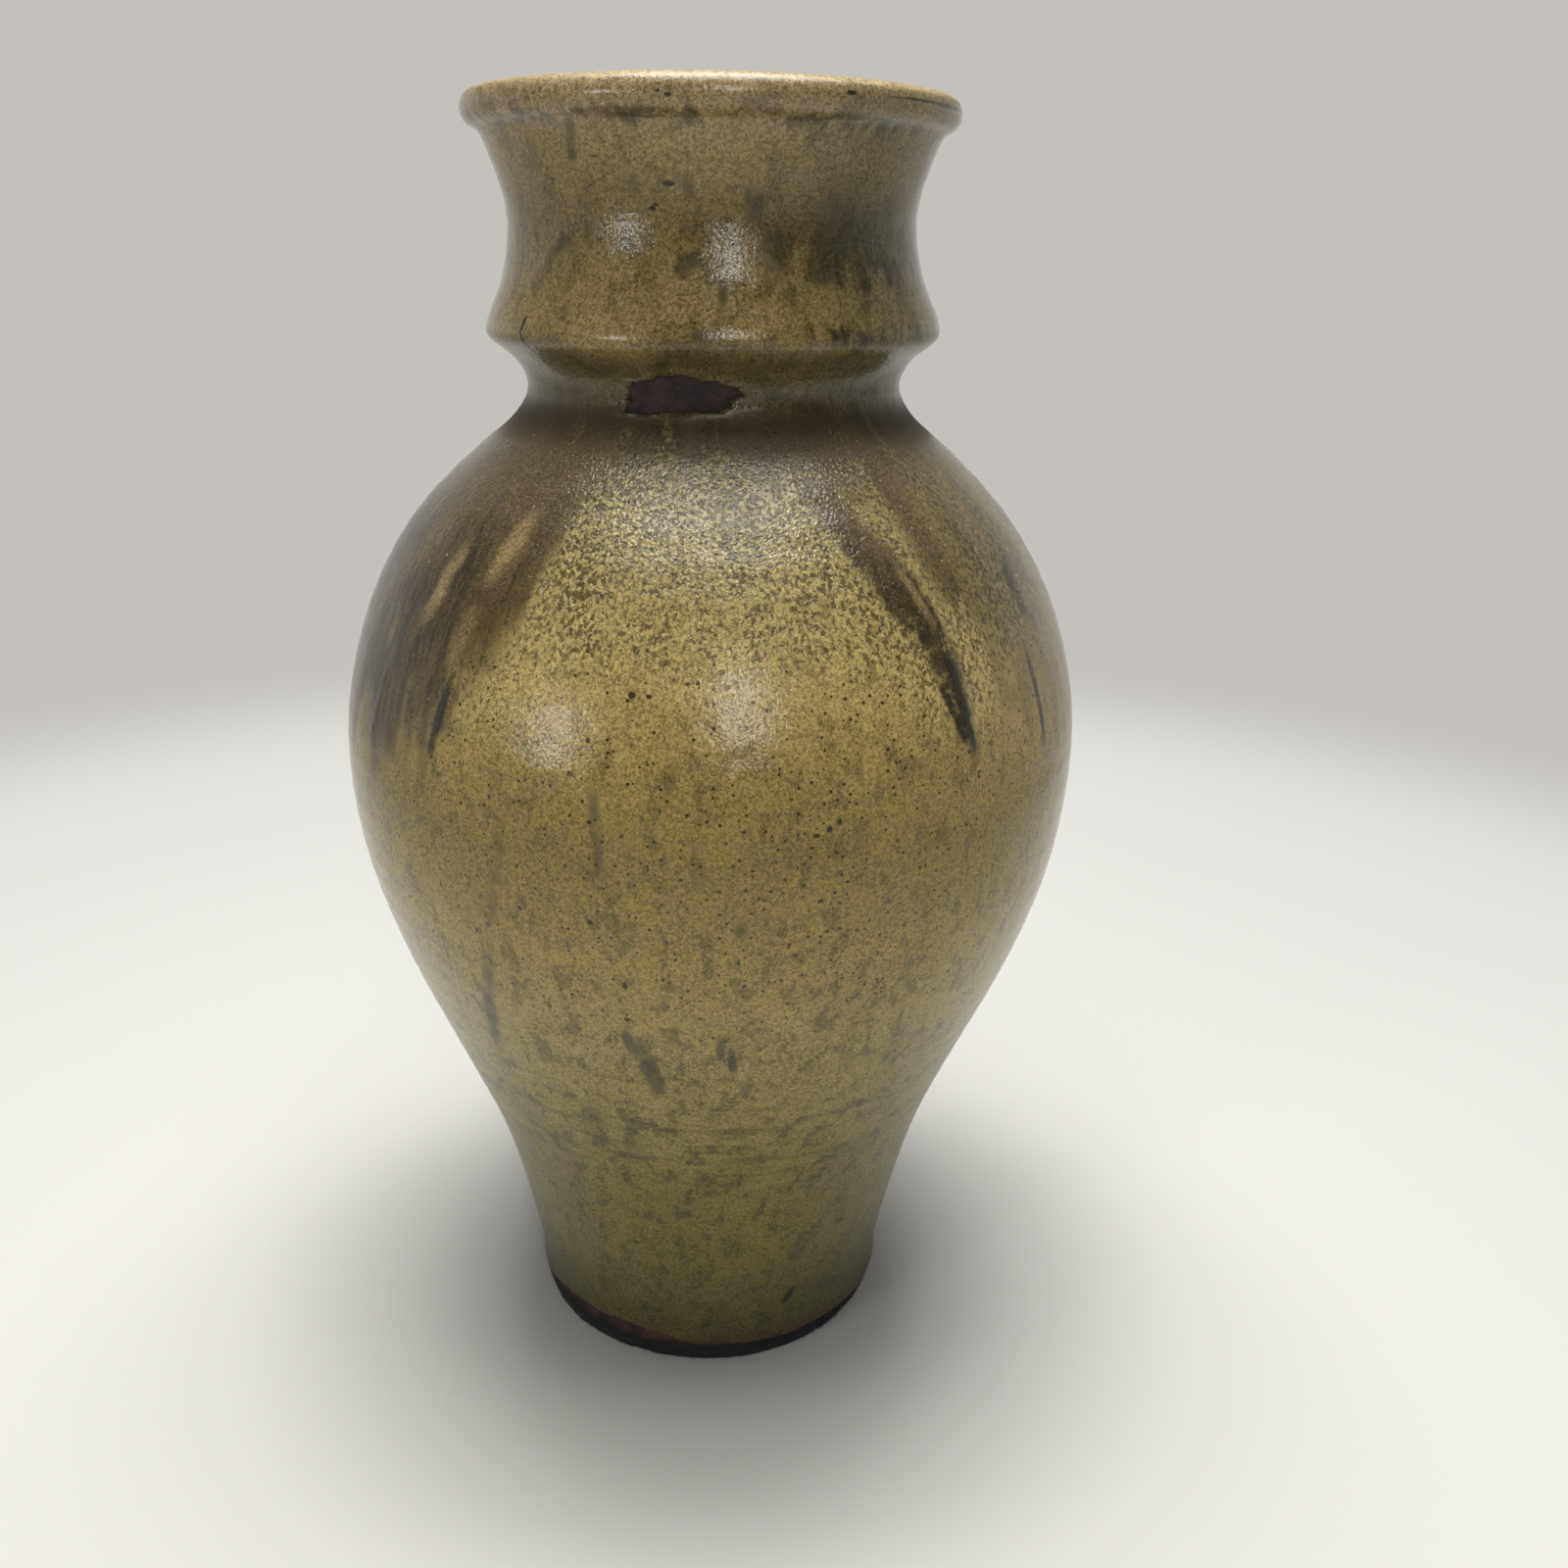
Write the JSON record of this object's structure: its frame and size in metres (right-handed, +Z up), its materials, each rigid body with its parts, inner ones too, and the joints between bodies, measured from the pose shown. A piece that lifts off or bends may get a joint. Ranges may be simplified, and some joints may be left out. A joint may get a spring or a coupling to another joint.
{
  "type": "stoneware vase",
  "caption": "Tall wheel-thrown stoneware vase: wide shoulder, narrow neck, flared collar with a ridge and a rolled rim, glazed inside and out, standing on a felt pad.",
  "frame": {"origin": "middle of the underside of the felt pad, where the vase stands", "axes": "+Z up along the axis of the pot, -Y towards the front, where the glaze has crawled away from a patch of the neck"},
  "size_m": [0.2224, 0.2224, 0.38],
  "materials": {
    "clay": "bare iron-bearing stoneware, fired to a dry dark red-brown",
    "outer_glaze": "satin to glossy honey-olive ash glaze, mottled, with iron specks and dark drips",
    "liner_glaze": "glossy brown liner glaze",
    "felt": "matt black pressed felt"
  },
  "bodies": {
    "root": {"felt_pad": "felt", "turned_base": "clay", "lower_wall": "clay", "shoulder": "clay", "ridged_collar": "clay", "rolled_rim": "clay", "outer_glaze": "outer_glaze", "liner_glaze": "liner_glaze"}
  },
  "joints": []
}
